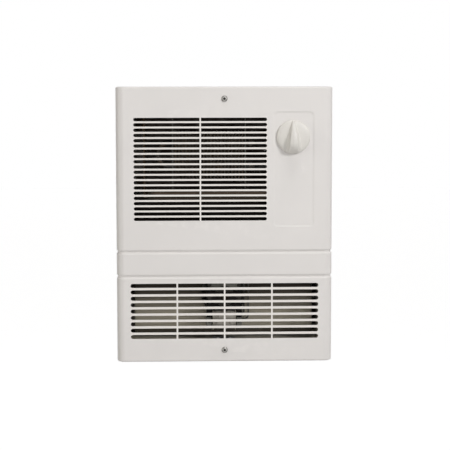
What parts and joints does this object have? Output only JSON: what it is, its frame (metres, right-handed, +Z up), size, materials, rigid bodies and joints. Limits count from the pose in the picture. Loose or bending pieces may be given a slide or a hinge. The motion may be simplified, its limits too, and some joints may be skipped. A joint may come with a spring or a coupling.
{
  "type": "bathroom wall fan heater",
  "caption": "Recessed wall fan heater: painted cover with outlet and intake grilles and a thermostat knob, over a steel can holding a blower, motor, finned element and controls.",
  "frame": {"origin": "centre of the cover's rear rim, on the finished wall", "axes": "+X to the right seen from the room, +Y into the wall, +Z up"},
  "size_m": [0.29, 0.1329, 0.37],
  "materials": {
    "cover_paint": "satin off-white",
    "knob_plastic": "semi-gloss off-white",
    "galvanized": "dull zinc",
    "plate_steel": "dull aluminised",
    "screw_steel": "plated",
    "fan_aluminium": "mill",
    "stack_steel": "blued laminations",
    "cast_bracket": "black painted die casting",
    "bearing_bronze": "sintered",
    "copper": "drawn copper",
    "bobbin_nylon": "moulded nylon",
    "coil_tape": "varnished tape",
    "black_phenolic": "moulded phenolic",
    "heater_casting": "heat-darkened casting",
    "heater_sheath": "oxidised sheath",
    "white_ceramic": "unglazed",
    "green_steel": "green plated",
    "black_rubber": "moulded",
    "black_wire": "insulated wire",
    "white_wire": "insulated wire"
  },
  "bodies": {
    "heater": {"front_cover": "cover_paint", "cover_screws": "screw_steel", "thermostat_body": "black_phenolic", "thermostat_nut": "bearing_bronze", "control_bracket": "galvanized", "bracket_screws": "screw_steel", "capillary_bulb": "copper", "bulb_clips": "galvanized", "wall_housing": "galvanized", "cover_brackets": "galvanized", "bracket_rivets": "screw_steel", "intake_plate": "plate_steel", "scroll_housing": "plate_steel", "outlet_duct": "plate_steel", "chassis_screws": "screw_steel", "motor_stack": "stack_steel", "stack_rivets": "screw_steel", "coil_bobbin": "bobbin_nylon", "motor_coil": "coil_tape", "motor_bracket_front": "cast_bracket", "motor_bracket_rear": "cast_bracket", "motor_bearings": "bearing_bronze", "motor_bolts": "screw_steel", "motor_nuts": "screw_steel", "motor_mount_top": "galvanized", "motor_mount_bottom": "galvanized", "mount_screws": "screw_steel", "element_casting": "heater_casting", "element_tube": "heater_sheath", "element_insulators": "white_ceramic", "element_pins": "screw_steel", "element_brackets": "galvanized", "element_screws": "screw_steel", "limit_switch": "black_phenolic", "switch_screws": "screw_steel", "terminal_block": "black_phenolic", "terminal_screws": "bearing_bronze", "ground_screw": "green_steel", "wire_grommets": "black_rubber", "power_leads": "black_wire", "motor_leads": "white_wire"},
    "knob": {"control_knob": "knob_plastic", "thermostat_spindle": "screw_steel"},
    "fan": {"blower_wheel": "fan_aluminium", "motor_shaft": "screw_steel", "motor_rotor": "fan_aluminium"}
  },
  "joints": [
    {"name": "knob_turn", "type": "hinge", "parent": "heater", "child": "knob", "pos_m": [0.092, 0, 0.118], "axis": [0, -1, 0], "range_deg": [-140, 140]},
    {"name": "fan_spin", "type": "hinge", "parent": "heater", "child": "fan", "pos_m": [0, 0, -0.099], "axis": [0, 1, 0], "continuous": true}
  ]
}
